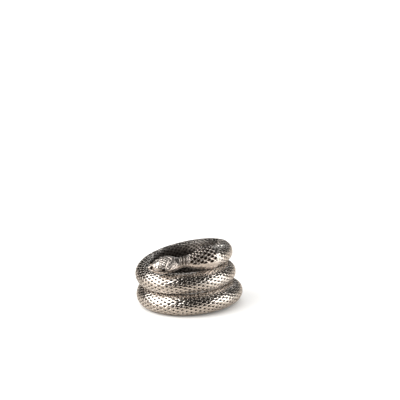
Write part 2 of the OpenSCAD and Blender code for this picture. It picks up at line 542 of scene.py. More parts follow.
def build_scratch_group():
    tree, given, end = new_group(
        "ShaderNodeTree", "Fine scratches",
        {"Scale": 900.0, "Roughness In": 0.2, "Amount": 0.1, "Depth": 0.3},
        {"Roughness": "Float", "Normal": "Vector"})
    where = add(tree, "ShaderNodeTexCoord").outputs["Object"]
    drawn_out = add(tree, "ShaderNodeMapping",
                    {"Vector": where, "Rotation": SCRATCH_TURN, "Scale": SCRATCH_STRETCH}).outputs[0]
    lines = add(tree, "ShaderNodeTexNoise", {"Vector": drawn_out, "Scale": given["Scale"], "Detail": 3.0,
                                             "Roughness": 0.7}).outputs["Fac"]
    cut = fade(tree, lines, 0.55, 0.75, "LINEAR")
    rough = plus(tree, given["Roughness In"], times(tree, cut, given["Amount"]))
    bump = add(tree, "ShaderNodeBump",
               {"Height": cut, "Strength": given["Depth"], "Distance": SCRATCH_DEPTH_M}, invert=True)
    feed(tree, end, {"Roughness": rough, "Normal": bump.outputs[0]})
    return tree


scratch_group = build_scratch_group()
print("nodes in the scratches:", len(scratch_group.nodes))

# %% [markdown]
# ## The metals
#
# Three materials use both groups. The scales are small and bright, each with a tone of its own. The castings
# have a warmer and browner shadow in their dents. What lines the sleeve is nearly black, which is painted
# shade for the hollow inside of the sleeve. Metal shows little of its own colour and mostly mirrors the room,
# so the lights at the end of this lesson matter as much as these values.


# %% Metal materials
def new_material(name, **constants):
    material = bpy.data.materials.new(name)
    material.use_nodes = True
    shader = material.node_tree.nodes["Principled BSDF"]
    for label, value in constants.items():
        shader.inputs[label.replace("_", " ")].default_value = value
    return material, material.node_tree, shader


def dressed_metal(name, finish, scratches, tone=0.0):
    """A metal with the antique finish. Tone is how much each scale differs from its neighbours."""
    material, tree, shader = new_material(name, Metallic=1.0)
    worn = add(tree, "ShaderNodeAttribute", attribute_name="worn").outputs["Fac"]
    antique = add(tree, "ShaderNodeGroup", node_tree=finish_group)
    feed(tree, antique, {"Wear And Shade": worn, **finish})
    marks = add(tree, "ShaderNodeGroup", node_tree=scratch_group)
    feed(tree, marks, {"Roughness In": antique.outputs["Roughness"], **scratches})
    colour = antique.outputs["Color"]
    if tone:
        own = add(tree, "ShaderNodeAttribute", attribute_name="own_shade").outputs["Fac"]
        value = add(tree, "ShaderNodeMapRange", {"Value": own, "To Min": 1 - tone, "To Max": 1 + tone})
        colour = add(tree, "ShaderNodeHueSaturation", {"Color": colour, "Value": value.outputs[0]}).outputs[0]
    feed(tree, shader, {"Base Color": colour, "Roughness": marks.outputs["Roughness"],
                        "Normal": marks.outputs["Normal"]})
    return material


scale_metal = dressed_metal(
    "scale_metal",
    {"Bright": (0.87, 0.81, 0.755, 1), "Dark": (0.03, 0.02, 0.014, 1), "Cut": 0.3, "Spread": 0.22,
     "Mottle": 0.25, "Mottle Scale": 700.0, "Smooth": 0.12, "Dull": 0.5},
    {"Scale": 1400.0, "Amount": 0.12, "Depth": 0.25}, tone=0.06)
cast_metal = dressed_metal(
    "cast_metal",
    {"Bright": (0.83, 0.755, 0.7, 1), "Dark": (0.02, 0.013, 0.009, 1), "Cut": 0.45, "Spread": 0.22,
     "Mottle": 0.35, "Mottle Scale": 500.0, "Smooth": 0.24, "Dull": 0.5},
    {"Scale": 900.0, "Amount": 0.15, "Depth": 0.3})
# Nearly black: painted shade for the hollow inside of the sleeve.
lining_painted_shade = dressed_metal(
    "lining_painted_shade",
    {"Bright": (0.05, 0.042, 0.036, 1), "Dark": (0.02, 0.016, 0.013, 1), "Cut": 0.5, "Spread": 0.3,
     "Mottle": 0.8, "Mottle Scale": 900.0, "Smooth": 0.45, "Dull": 0.7},
    {"Scale": 1400.0, "Amount": 0.1, "Depth": 0.2})
print("metals:", scale_metal.name, cast_metal.name, lining_painted_shade.name)

# %% [markdown]
# ## Clothing the tube
#
# Now the tree is run. The sleeve is one thing on the real bracelet. Here it is made in two runs, an upper
# and a lower one, so that neither mesh grows too heavy. They meet between two rings of scales, where nothing
# shows. The sheet is placed by one hole at the front of the middle turn, from which the rings are counted.

# %% Run the tree of scales
TWIST = 0.356
HOLE_A = 279.55
HOLE_TURN = 9.5
RINGS_BEFORE = 65
PAST_TAIL_RIM = 1.5
FIRST_AT = length_at(HOLE_A) - RINGS_BEFORE * PLATE_HALF_LENGTH
RINGS = int((length_at(TAIL_A) + PAST_TAIL_RIM - FIRST_AT) / PLATE_HALF_LENGTH) + 1

SHEET = {
    "Scale": one_scale, "Columns": COLUMNS, "Material": scale_metal,
    "Ring Spacing": PLATE_HALF_LENGTH * MM, "Column Spacing": 2 * PLATE_HALF_WIDTH * MM,
    "Path Step": PATH_STEP * MM, "Metres A Radian": TUBE_R * MM, "Phase": FIRST_AT * MM,
    "Twist": math.radians(TWIST) / MM, "Start Turn": math.radians(HOLE_TURN - TWIST * length_at(HOLE_A)),
    # Its last value darkens the scales on the coil's inside: painted shade.
    "Tip Lift": math.radians(1.5), "Tilt": math.radians(4.2), "Inside Shade": 0.82}


def clothe(name, first, rings, seed):
    """Runs the tree over some of the rings and keeps the result as a plain mesh."""
    holder = path.copy()
    bpy.context.scene.collection.objects.link(holder)
    modifier = holder.modifiers.new("scales", "NODES")
    modifier.node_group = scale_tree
    identifiers = {s.name: s.identifier for s in scale_tree.interface.items_tree if s.in_out == "INPUT"}
    for label, value in {**SHEET, "First Ring": first, "Rings": rings, "Seed": seed}.items():
        modifier[identifiers[label]] = value
    evaluated = holder.evaluated_get(bpy.context.evaluated_depsgraph_get())
    mesh = bpy.data.meshes.new_from_object(evaluated)
    bpy.data.objects.remove(holder)
    mesh.name = name
    made = bpy.data.objects.new(name, mesh)
    bpy.context.scene.collection.objects.link(made)
    print(name, "scales:", rings * COLUMNS, "faces:", len(mesh.polygons))
    return made


half = RINGS // 2
scales_upper = clothe("scales_upper", 0, half, seed=11)
scales_lower = clothe("scales_lower", half, RINGS - half, seed=12)
bpy.data.objects.remove(path)
bpy.data.objects.remove(one_scale)

# %% [markdown]
# ## The lining
#
# Through the round holes we see the dark inside of the sleeve. A black plane behind each hole would do, but
# every side of the sleeve can be seen, so a real thin tube is made: an outer and an inner wall that are
# joined at both ends. Its near-black metal is painted shade for the shade inside the hollow sleeve.

# %% Make the lining
LINING_AROUND = 48
LINING_RINGS = 400
LINING_OVERLAP = 0.02
LINING_SHORTER = 0.5
MESH_WALL = 1.2


def make_lining():
    a = np.linspace(RIM_A - SOCKET_DEPTH + LINING_SHORTER, TAIL_A + SOCKET_DEPTH - LINING_SHORTER,
                    LINING_RINGS)
    outer_r = SKIN_R - DOME - PLATE_EDGE + LINING_OVERLAP - drawn_in_at(a)
    inner_r = TUBE_R - MESH_WALL - drawn_in_at(a)
    outer = ring_points(a, outer_r, LINING_AROUND)
    inner = ring_points(a, inner_r, LINING_AROUND)[::-1]
    points = np.concatenate([outer, inner]).reshape(-1, 3)
    faces = [[i % len(points) for i in face]
             for face in skin_faces(2 * LINING_RINGS + 1, LINING_AROUND, True, True)]
    lining = new_object("sleeve_lining", points, faces, lining_painted_shade)
    set_values(lining, "worn", np.full(len(points), 0.5))
    return lining


lining = make_lining()
print("lining faces:", len(lining.data.polygons))

# %% [markdown]
# ## The head casting: its plain shape
#
# Head, neck and cap are one casting, and the eye goes there first. It could be sculpted freely. Here it is
# built like a lathe job with changing sections: a table says how wide and high each section is, the sections
# are blended smoothly, and the relief is then pressed into that plain shape. The crown is rolled towards the
# front, as a snake's head lies on its own coils.

# %% The head's sections
HEAD_LEN = 24.5
HEAD_HALF_W = 8.3
DROOP = 6.5
SWAY = 6.0
ROLL = 30.0

# Share of the head's length from the neck, share of its half width, height of crown, depth of chin, lift
HEAD = np.array([
    [1.00, 0.07, 0.35, 0.4, 0.4], [0.97, 0.22, 1.3, 1.5, 0.0], [0.90, 0.39, 2.7, 3.0, -0.4],
    [0.78, 0.60, 4.1, 4.4, -0.4], [0.64, 0.86, 5.1, 5.4, -0.3], [0.50, 1.00, 5.5, 5.8, -0.1],
    [0.36, 0.98, 5.5, 5.8, -0.1], [0.22, 0.78, 5.6, 5.8, -0.3], [0.10, 0.57, 5.1, 5.3, -0.6]])
WIDEST = HEAD[5]

# Neck and cap: angle, radius, lift above the coil's line
NECK = np.array([
    [-94, 4.3, -0.7], [-91, 4.4, -0.1], [-88, 4.4, 0.3], [-85, 4.5, 0.45], [-83.5, 4.6, 0.4],
    [-80, 5.0, 0.05], [-75, 5.7, -0.3], [-69, 6.9, -0.15], [-62, 8.2, 0.3], [-54, 9.1, 0.4],
    [-46, 9.3, 0.3]])

neck_point, neck_along, neck_out, neck_up = coil(NECK_A)
forward = -cosd(DROOP) * neck_along - sind(DROOP) * neck_up
SNOUTWARD = cosd(SWAY) * forward + sind(SWAY) * neck_out
HEAD_UP = unit(np.cross(neck_out, -SNOUTWARD))
HEAD_SIDE = np.cross(-SNOUTWARD, HEAD_UP)
NECK_MM_A_DEGREE = math.radians(1) * line_radius(NECK_A)


def casting_rows():
    """One row a section: mm from the snout, centre, side, up, half width, height, depth."""
    rows = []
    for share, width, top, chin, lift in HEAD:
        centre = neck_point + share * HEAD_LEN * SNOUTWARD + lift * HEAD_UP
        rows.append([(1 - share) * HEAD_LEN, *centre, *HEAD_SIDE, *HEAD_UP, width * HEAD_HALF_W, top, chin])
    for a, radius, lift in NECK:
        centre, _, out, up = coil(a)
        t = HEAD_LEN + (a - NECK_A) * NECK_MM_A_DEGREE
        rows.append([t, *(centre + lift * up), *out, *up, radius, radius, radius])
    return np.array(rows)


rows = casting_rows()
CAST_LEN = float(rows[-1, 0])
print("length of the casting, mm:", round(CAST_LEN, 1))

# %% Blend the sections
BLEND_STEP = 0.05
BLEND_REACH = 26


def blended(t):
    """Smooth values between the rows: straight lines, rounded by averaging over a short stretch."""
    fine = np.arange(rows[0, 0], rows[-1, 0] + 1e-6, BLEND_STEP)
    columns = np.stack([np.interp(fine, rows[:, 0], column) for column in rows.T[1:]], 1)
    side = 2 * BLEND_REACH
    weight = np.exp(-0.5 * (np.arange(-side, side + 1) / BLEND_REACH) ** 2)
    padded = np.concatenate([2 * columns[0] - columns[side:0:-1], columns,
                             2 * columns[-1] - columns[-2:-side - 2:-1]])
    soft = [np.convolve(column, weight / weight.sum(), "valid") for column in padded.T]
    return np.stack([np.interp(t, fine, column) for column in soft], 1)


print("half width a third of the way back along the head, mm:", blended([HEAD_LEN / 3])[0, 9].round(2))

# %% [markdown]
# The casting's skin is a grid: lines along it from snout to rim, and lines round it. On the head, the
# direction round is counted from the crown, so that both sides get the same relief. The rows stand closer
# together at the snout, where the shape turns quickly.

# %% The plain skin
AROUND = 224
HEAD_ROWS = 190
NECK_ROWS = 175
CROWDING = 1.15


def plain_skin():
    t = np.concatenate([HEAD_LEN * np.linspace(0, 1, HEAD_ROWS, endpoint=False) ** CROWDING,
                        np.linspace(HEAD_LEN, CAST_LEN, NECK_ROWS)])
    section = blended(t)
    centre, side, up = section[:, 0:3], unit(section[:, 3:6]), unit(section[:, 6:9])
    width, top, chin = (section[:, k][:, None] for k in (9, 10, 11))
    turn = 360 * np.arange(AROUND) / AROUND
    rolled = turn[None] + ROLL
    height = np.where(sind(rolled) > 0, top, chin)
    radius = 1 / np.hypot(cosd(rolled) / np.maximum(width, 1e-3), sind(rolled) / np.maximum(height, 1e-3))
    spoke = cosd(turn)[None, :, None] * side[:, None] + sind(turn)[None, :, None] * up[:, None]
    return t, turn, rolled, radius, centre[:, None] + radius[..., None] * spoke


def grid_normals(points):
    """Outward normals of a grid of rows that each close on themselves."""
    across = np.roll(points, -1, 1) - np.roll(points, 1, 1)
    normal = np.cross(across, np.gradient(points, axis=0))
    return normal / np.maximum(np.linalg.norm(normal, axis=-1, keepdims=True), 1e-9)


t_line, turn_line, rolled_line, cast_radius, cast_points = plain_skin()
cast_normals = grid_normals(cast_points)
outward_check = ((cast_points - cast_points.mean(1, keepdims=True)) * cast_normals).sum(-1).mean()
print("grid of the casting:", cast_points.shape[:2], "normals point out:", bool(outward_check > 0))

# %% [markdown]
# ## Relief on the head
#
# These are the marks that a jeweller cuts into the wax: two large nostrils with a raised lip, smooth plates
# on the snout, rows of bead-like plates on the crown with a furrow down the middle, a ridge that closes the
# crown at the back, finer scales behind it, a lid over each eye, and a smooth band along the jaw. Each is a
# height in millimetres, worked out from the distance to a point or to a drawn line.


# %% Tools for relief
def ease(x):
    """A soft step from 0 to 1, as x goes from 0 to 1."""
    x = np.clip(x, 0, 1)
    return x * x * (3 - 2 * x)


def beyond(value, start, width):
    """0 up to the start, and 1 from a width beyond it."""
    return ease((value - start) / width)


def short_of(value, end, width):
    """0 from the end on, and 1 up to a width short of it."""
    return ease((end - value) / width)


def swell(distance, reach):
    """1 at a line or point and 0 beyond its reach."""
    return ease(1 - distance / reach)


def beads(u, v, length, width):
    """Staggered beads: 1 on top of each, 0 in the seams between them."""
    best = np.full(np.shape(u), 9.0)
    for shift in (0.0, 0.5):
        du = (u / length + shift) % 1 - 0.5
        dv = (v / width + shift) % 1 - 0.5
        best = np.minimum(best, np.hypot(du * 1.25, dv * 1.25))
    return ease(1 - best / 0.62)


def tell(label, height):
    print(label, "relief, mm:", round(float(height.min()), 2), "to", round(float(height.max()), 2))


# %% Places on the head
# For each place of the skin: T is mm from the snout, FROM_CROWN degrees from the crown, and Y mm across
mean_radius = cast_radius.mean(1)
T = np.broadcast_to(t_line[:, None], cast_radius.shape)
FROM_CROWN = np.broadcast_to((rolled_line - 90 + 180) % 360 - 180, cast_radius.shape)
Y = np.abs(np.radians(FROM_CROWN)) * mean_radius[:, None]


def place(t, degrees):
    """A place on the head: mm from the snout, and degrees from the crown made into mm across."""
    return t, math.radians(degrees) * float(np.interp(t, t_line, mean_radius))


def y_at(t, degrees):
    """How far across a place lies, in mm from the crown."""
    return place(t, degrees)[1]


def drawn(line, reach):
    """1 on a line drawn through places on the head, and 0 beyond its reach."""
    best = np.full(T.shape, 1e9)
    spots = [place(*spot) for spot in line]
    for (t0, y0), (t1, y1) in zip(spots[:-1], spots[1:]):
        dt, dy = t1 - t0, y1 - y0
        share = np.clip(((T - t0) * dt + (Y - y0) * dy) / (dt * dt + dy * dy), 0, 1)
        best = np.minimum(best, np.hypot(T - t0 - share * dt, Y - y0 - share * dy))
    return swell(best, reach)


print("farthest across, mm:", round(float(Y.max()), 1))

# %% Snout
NOSTRIL_T = 3.35
NOSTRIL_Y = y_at(3.4, 44)
NOSTRIL_LENGTH = 1.5
NOSTRIL_WIDTH = 1.55
SNOUT_SEAMS = (6.7, 9.7)
SEAM_DEPTH = 0.22


def snout_relief():
    off = np.hypot((T - NOSTRIL_T) / NOSTRIL_LENGTH, (Y - NOSTRIL_Y) / NOSTRIL_WIDTH)
    tip = 0.35 * swell(T - 0.2, 2.4) * beyond(Y, 0, 1.2) * short_of(Y, y_at(2.0, 80), 0.6)
    lip = 0.55 * swell(np.abs(off - 1.15), 0.5)
    hole = 1.5 * short_of(off, 1.0, 0.5)
    cuts = beyond(T, 4.6, 0.6) * short_of(T, 9.6, 0.6) * swell(np.abs(Y - y_at(7.0, 38)), 0.36)
    for seam in SNOUT_SEAMS:
        cuts = cuts + swell(np.abs(T - seam + 0.12 * Y), 0.34) * short_of(Y, y_at(seam, 50), 0.6)
    return tip + lip - hole - SEAM_DEPTH * cuts


snout_height = snout_relief()
tell("snout", snout_height)

# %% Crown, ridge and the scales behind it
RIDGE = [(18.7, 0), (17.6, 16), (16.5, 29), (15.6, 41), (14.5, 52), (13.3, 62)]
RIDGE_H = 0.45
SOFTER_BEHIND = 0.7
PLATE_H = 0.34
PLATE_SUNK = 0.19
SCALE_SUNK = 0.26

# The rows of plates are laid out a little unevenly
WANDER = 0.22 * np.sin(1.9 * Y + 0.8 * T) + 0.18 * np.sin(2.3 * T + 1.1)


def crown_relief():
    across_crown = RIDGE[:5]
    ridge_t = np.interp(Y, [y_at(*spot) for spot in across_crown], [t for t, _ in across_crown])
    ridge = RIDGE_H * drawn(RIDGE, 0.7) * (1 - SOFTER_BEHIND * beyond(FROM_CROWN, -4, 12))
    crown = beyond(T, 9.6, 0.8) * short_of(T, ridge_t - 0.5, 0.7) * short_of(Y, y_at(14.0, 56), 0.8)
    plates = crown * (PLATE_H * beads(T - 9.9 + WANDER, Y - 0.25 + 0.8 * WANDER, 2.7, 2.4) - PLATE_SUNK)
    furrow = 0.28 * swell(Y, 0.42) * beyond(T, 4.9, 0.6) * short_of(T, 18.3, 0.6)
    rear = beyond(T, ridge_t, 0.5) * (Y < y_at(16.0, 86))
    rear = rear * short_of(T, HEAD_LEN - 0.5, 1.5) * short_of(Y, y_at(20.0, 96), 1.2)
    scales = rear * (PLATE_H * beads(T + 0.6 * WANDER, Y - 0.3 + 0.6 * WANDER, 1.9, 1.7) - SCALE_SUNK)
    return ridge + plates - furrow + scales


crown_height = crown_relief()
tell("crown", crown_height)

# %% Where the eyes are
EYE_SHARE = 0.52
EYE_TURN = 17.0
EYE_SINK = 0.8
FAR_OFF = 99.0


def eye_place(turn):
    """Centre of an eye and the direction that it looks in."""
    _, _, top, chin, lift = WIDEST
    high = top if sind(turn) > 0 else chin
    reach = 1 / math.hypot(cosd(turn) / HEAD_HALF_W, sind(turn) / high) - EYE_SINK
    looks = unit(cosd(turn) / HEAD_HALF_W * (cosd(ROLL) * HEAD_SIDE - sind(ROLL) * HEAD_UP)
                 + sind(turn) / high * (sind(ROLL) * HEAD_SIDE + cosd(ROLL) * HEAD_UP))
    centre = (neck_point + EYE_SHARE * HEAD_LEN * SNOUTWARD + reach * cosd(turn - ROLL) * HEAD_SIDE
              + (lift + reach * sind(turn - ROLL)) * HEAD_UP)
    return centre, looks


def from_eyes():
    """How far each place of the skin is from the nearer eye: along the head, and across it."""
    found = []
    for turn in (EYE_TURN, 180 - EYE_TURN):
        centre, looks = eye_place(turn)
        away = cast_points - centre
        along, out = away @ SNOUTWARD, away @ looks
        across = np.sqrt(np.maximum((away ** 2).sum(-1) - along ** 2 - out ** 2, 0))
        found.append(np.where(out > 0, [along, across], FAR_OFF))
    return np.where(np.hypot(*found[0]) < np.hypot(*found[1]), *found)


eye_along, eye_across = from_eyes()
print("eyes at, mm:", eye_place(EYE_TURN)[0].round(1), eye_place(180 - EYE_TURN)[0].round(1))

# %% Lids and jaw
LID = [(8.6, 48), (10.6, 57), (12.0, 61), (13.6, 62), (14.8, 66)]
CREASE = [(7.9, 52), (9.4, 60), (10.6, 68)]
JAW_BAND = [(2.2, 78), (4.9, 76), (9.0, 83), (12.3, 88), (16.0, 87), (19.5, 90), (23.0, 92)]
MOUTH = [(1.0, 108), (5.0, 112), (10.0, 116), (15.0, 120), (17.5, 116)]
BEZEL_LENGTH = 1.45


def socket_relief():
    """The raised bezel round each eye and the hollow that the eye sits in."""
    off = np.hypot(eye_along / BEZEL_LENGTH, eye_across)
    return 0.45 * swell(np.abs(off - 1.12), 0.4) - 0.8 * short_of(off, 1.0, 0.25)


def jaw_relief():
    band_y = np.interp(T, [t for t, _ in JAW_BAND], [y_at(*spot) for spot in JAW_BAND])
    band = 0.24 * swell(np.abs(Y - band_y - 1.15), 1.2) * beyond(T, 1.5, 1.5)
    cheek = 0.7 * swell(np.abs(np.abs(FROM_CROWN) - 114), 38) * beyond(T, 4, 3) * short_of(T, 20, 3)
    return band + cheek - 0.3 * drawn(JAW_BAND, 0.5) - 0.34 * drawn(MOUTH, 0.4)


def head_relief():
    lids = 0.42 * drawn(LID, 0.95) - 0.45 * drawn(CREASE, 0.5)
    off_eyes = beyond(np.hypot(eye_along, eye_across), 1.1, 1.0)
    above = (snout_height + crown_height + lids) * off_eyes
    return (above + socket_relief() + jaw_relief()) * short_of(T, HEAD_LEN - 1.0, 2.5)


head_height = head_relief()
tell("head", head_height)

# %% [markdown]
# ## Relief on the neck and the cap
#
# The neck has three raised ribs that fade out on the smooth belly. The cap repeats the pattern of the mesh
# in the casting: diamond dents in a bright net. They keep their size, so more of them stand side by side
# where the cap is wide. On the belly they are only hinted at. The cap ends in a plain rim.

# %% The neck's and the cap's relief
RIBS = (-90.8, -87.3, -83.8)
RIB_H = 0.6
DENT_STEP = 3.96
DENT_HALF_WIDTH = 1.73
DENT_DEPTH = 0.9
ROW_SLANT = 0.047
COLUMN_SLANT = 0.0376
ROW_START = 0.73
COLUMN_START = -0.19
ROUNDNESS = 1.4
PLAIN_RIM = 3.0


def ribs(a, round_turn):
    """The ribs. Angles round the neck start at its outer side, and 90 is its back."""
    on_back = beyond(round_turn, -30, 18) * short_of(round_turn, 212, 18)
    height = np.zeros(T.shape)
    for rib in RIBS:
        off = np.abs(a - rib) * NECK_MM_A_DEGREE
        height += on_back * (RIB_H * swell(off, 0.62) - 0.22 * swell(np.abs(off - 0.85), 0.35))
    return height


def from_dents(a, round_turn):
    """How far each place is from the middle of the nearest dent: 1 is where two dents meet."""
    girth = np.radians(round_turn - 45) * cast_radius
    u = a / DENT_STEP - ROW_SLANT * girth + ROW_START
    v = girth / DENT_HALF_WIDTH + COLUMN_SLANT * a + COLUMN_START
    near = np.full(T.shape, 9.0)
    for shift in (0, 1):
        du = np.abs((u + shift + 1) % 2 - 1)
        dv = np.abs((v + shift + 1) % 2 - 1)
        near = np.minimum(near, (du ** ROUNDNESS + dv ** ROUNDNESS) ** (1 / ROUNDNESS))
    return near


def neck_relief():
    a = NECK_A + (T - HEAD_LEN) / NECK_MM_A_DEGREE
    round_turn = (np.broadcast_to(turn_line, T.shape) + 90) % 360 - 90
    near = from_dents(a, round_turn)
    below_rim = short_of(a, RIM_A - PLAIN_RIM, 1.2)
    sides = beyond(round_turn, -17, 8) * short_of(round_turn, 202, 8)
    dents = DENT_DEPTH * short_of(near, 0.8, 0.34) * beyond(a, -81.5, 2.0) * below_rim * sides
    belly = beyond(a, -80, 4.0) * below_rim * short_of(round_turn, -10, 10) * beyond(round_turn, -70, 1)
    hints = 0.12 * short_of(near, 0.6, 0.5) * belly
    rim = 0.12 * swell(np.abs(a - RIM_A + 1.2) * 0.6, 0.7)
    return ribs(a, round_turn) - dents - hints + rim


neck_height = neck_relief()
tell("neck and cap", neck_height)

# %% [markdown]
# The relief is pushed out along the plain shape's normals. How far a place stands above the average of its
# surroundings tells where the dark finish stays, so that number is stored for the finish. The rim is then
# turned inwards, the socket for the mesh is added, and the snout is closed with a point.

# %% Build the casting
SURROUNDINGS = 6
PLAIN_WORN = 0.62
WORN_A_MM = 1.5
SNOUT_TIP = 0.25
SOCKET_R = 8.4

# The rim turned into the socket: angle past the rim, radius, lift, and how worn it is
TURNED_IN = np.array([[0.35, 9.1, 0.3, 0.8], [0.45, 8.8, 0.2, 0.6], [0.3, 8.55, 0.1, 0.3],
                      [-0.2, SOCKET_R, 0, 0.1], [-SOCKET_DEPTH - 0.4, SOCKET_R, 0, 0]])


def smoothed(field, reach):
    """The field averaged over its neighbours, along the casting and then round it."""
    steps = np.arange(-reach, reach + 1)
    last = len(field) - 1
    field = sum(field[np.clip(np.arange(last + 1) + k, 0, last)] for k in steps) / len(steps)
    return sum(np.roll(field, k, 1) for k in steps) / len(steps)


def make_head():
    relief = head_height + neck_height
    points = cast_points + relief[..., None] * cast_normals
    level = smoothed(smoothed(relief, SURROUNDINGS), SURROUNDINGS)
    worn = np.clip(PLAIN_WORN + WORN_A_MM * (relief - level), 0, 1)
    past_rim, radius, lift, rim_worn = TURNED_IN.T
    stack = np.concatenate([points, ring_points(RIM_A + past_rim, radius, AROUND, lift)])
    tip = points[0].mean(0) + SNOUT_TIP * SNOUTWARD
    faces = skin_faces(len(stack), AROUND, first_open=True)
    pole = len(stack) * AROUND
    faces += [[k, (k + 1) % AROUND, pole] for k in range(AROUND)]
    head = new_object("head_casting", np.concatenate([stack.reshape(-1, 3), [tip]]),
                      [list(reversed(f)) for f in faces], cast_metal)
    set_values(head, "worn", np.concatenate([worn.ravel(), np.repeat(rim_worn, AROUND), [0.8]]))
    return head


head = make_head()
print("head casting faces:", len(head.data.polygons))

# %% [markdown]
# ## The eyes
#
# Each eye is a small cabochon of smoky glass, nearly black: a low girdle that sits in its bezel, and a dome.
# It is turned on an axis that points straight out of the head. Such glass has hardly any colour, so what we
# see is the highlight. Its tone wanders a little, as the floor's does further on, so the soft clouds that
# do this are one group.


# %% Soft clouds between two colours
def build_cloud_group():
    tree, given, end = new_group(
        "ShaderNodeTree", "Soft clouds",
        {"Scale": 3.0, "Detail": 2.0, "First": (0.0, 0.0, 0.0, 1), "Second": (1.0, 1.0, 1.0, 1)},
        {"Color": "Color"})
    where = add(tree, "ShaderNodeTexCoord").outputs["Object"]
    cloud = add(tree, "ShaderNodeTexNoise",
                {"Vector": where, "Scale": given["Scale"], "Detail": given["Detail"]}).outputs["Fac"]
    feed(tree, end, {"Color": mixed_colour(tree, cloud, given["First"], given["Second"])})
    return tree


def clouds(tree, **values):
    group = add(tree, "ShaderNodeGroup", node_tree=cloud_group)
    feed(tree, group, values)
    return group.outputs["Color"]


cloud_group = build_cloud_group()
eye_glass, eye_tree, eye_shader = new_material("eye_glass", Roughness=0.08, Coat_Weight=0.4,
                                               Coat_Roughness=0.03)
feed(eye_tree, eye_shader, {"Base Color": clouds(eye_tree, Scale=1500.0, Detail=2.0,
                                                 First=(0.03, 0.028, 0.027, 1),
                                                 Second=(0.07, 0.064, 0.06, 1))})
print("eye material:", eye_glass.name)

# %% Turn the eyes
EYE_AROUND = 40

# Profile of the cabochon from its flat back to its top: radius, height
CABOCHON = [(0.98, -0.94), (1.16, -0.77), (1.2, 0.08), (1.17, 0.34), (1.03, 0.64), (0.81, 0.87),
            (0.56, 1.05), (0.28, 1.15)]
CABOCHON_TOP = 1.18


def make_eye(name, turn):
    centre, looks = eye_place(turn)
    first = unit(np.cross(looks, SNOUTWARD))
    second = np.cross(looks, first)
    spin = 2 * np.pi * np.arange(EYE_AROUND) / EYE_AROUND
    ring = np.cos(spin)[:, None] * first + np.sin(spin)[:, None] * second
    rings = [centre + height * looks + radius * ring for radius, height in CABOCHON]
    points = np.concatenate([*rings, [centre + CABOCHON_TOP * looks]])
    faces = skin_faces(len(rings), EYE_AROUND, last_open=True) + tip_faces(len(rings), EYE_AROUND)
    return new_object(name, points, faces, eye_glass)


near_eye = make_eye("near_eye_stone", EYE_TURN)
far_eye = make_eye("far_eye_stone", 180 - EYE_TURN)
print("eye faces:", len(near_eye.data.polygons))

# %% [markdown]
# ## The tail
#
# The tail lies behind the coil, where the picture doesn't show it, so it is kept plain: a collar with two
# fine grooves that takes the mesh, and a smooth taper to a blunt tip. The table of radii gives the taper
# straight stretches, which are rounded by averaging neighbours a few times.

# %% Make the tail
TAIL_AROUND = 96
TAIL_ROWS = 150
ROUNDINGS = 6
GROOVES = (2.2, 3.4)
GROOVE_DEPTH = 0.16
EDGE_ROUNDING = 0.25
TAIL_TIP = 0.15

# The tail's socket, from its floor to its mouth: angle past the rim, radius
TAIL_SOCKET = np.array([[SOCKET_DEPTH + 0.4, 7.5], [0.3, 7.5], [-0.02, 7.6]])


def make_tail():
    angle = np.linspace(0, TAIL[-1, 0], TAIL_ROWS)
    share = np.interp(angle, TAIL[:, 0], TAIL[:, 1])
    for _ in range(ROUNDINGS):
        share[1:-1] = (share[:-2] + 2 * share[1:-1] + share[2:]) / 4
    from_rim = angle * math.radians(1) * line_radius(TAIL_A)
    relief = -EDGE_ROUNDING * swell(from_rim, 0.5)
    for groove in GROOVES:
        relief = relief - GROOVE_DEPTH * swell(np.abs(from_rim - groove), 0.42)
    outer = ring_points(TAIL_A + angle, TUBE_R * share + relief, TAIL_AROUND)
    inner = ring_points(TAIL_A + TAIL_SOCKET[:, 0], TAIL_SOCKET[:, 1], TAIL_AROUND)
    stack = np.concatenate([inner, outer])
    tip = outer[-1].mean(0) + TAIL_TIP * coil(TAIL_A + TAIL[-1, 0])[1]
    faces = skin_faces(len(stack), TAIL_AROUND, last_open=True) + tip_faces(len(stack), TAIL_AROUND)
    tail = new_object("tail_casting", np.concatenate([stack.reshape(-1, 3), [tip]]), faces, cast_metal)
    worn = np.repeat(np.clip(0.66 + 2.0 * relief, 0, 1), TAIL_AROUND)
    set_values(tail, "worn", np.concatenate([np.zeros(len(TAIL_SOCKET) * TAIL_AROUND), worn, [0.7]]))
    return tail


tail = make_tail()
print("tail faces:", len(tail.data.polygons))

# %% [markdown]
# ## Which piece stands for which part of the frame
#
# Each piece rides on the model's one body, says which CAD part it replaces, and hides that part.

# %% Tie the pieces to the frame
PIECES = [(scales_upper, "scale_mesh", "mesh_tube"), (scales_lower, "scale_mesh", "mesh_tube"),
          (lining, "scale_mesh", "mesh_tube"), (head, "cast_metal", "snake_head"),
          (near_eye, "eye", "eye_near"), (far_eye, "eye", "eye_far"), (tail, "cast_metal", "tail_cap")]

for piece, slot_name, replaced in PIECES:
    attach(piece, "root")
    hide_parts(replaced)
    print(piece.name, "stands for", replaced)

# %% [markdown]
# ## Floor, room and lights
#
# Polished metal is a picture of its room. The bright patches on the left of each turn mirror a wide softbox,
# and the streaks on the right a narrower one and a bright stretch of floor. The middle is dark, because it
# mirrors a dark floor in front and the unlit room behind the camera. A floor as dark as that would spoil the
# pale surface, so floor and room have a second tone that only mirrored rays see.

# %% Tone of the floor
PALE = ((0.83, 0.825, 0.815, 1), (0.87, 0.865, 0.855, 1))
MIRRORED_DIM = (0.45, 0.405, 0.36, 1)
MIRRORED_DARK = (0.035, 0.03, 0.026, 1)
MIRRORED_BRIGHT = (0.8, 0.78, 0.75, 1)

# Where a stretch of floor begins and where it has its full tone: in metres, or as a bearing from the front
AHEAD_M = (-0.078, -0.1)
BESIDE_M = (0.05, 0.09)
LEFT_OUT_M = (-0.045, -0.06)
NOT_LEFT = (math.radians(-50), math.radians(-40))
NOT_RIGHT = (math.radians(100), math.radians(90))
LEFT_BEHIND = (math.radians(-92), math.radians(-104))
LEFT_BEHIND_SHARE = 0.4


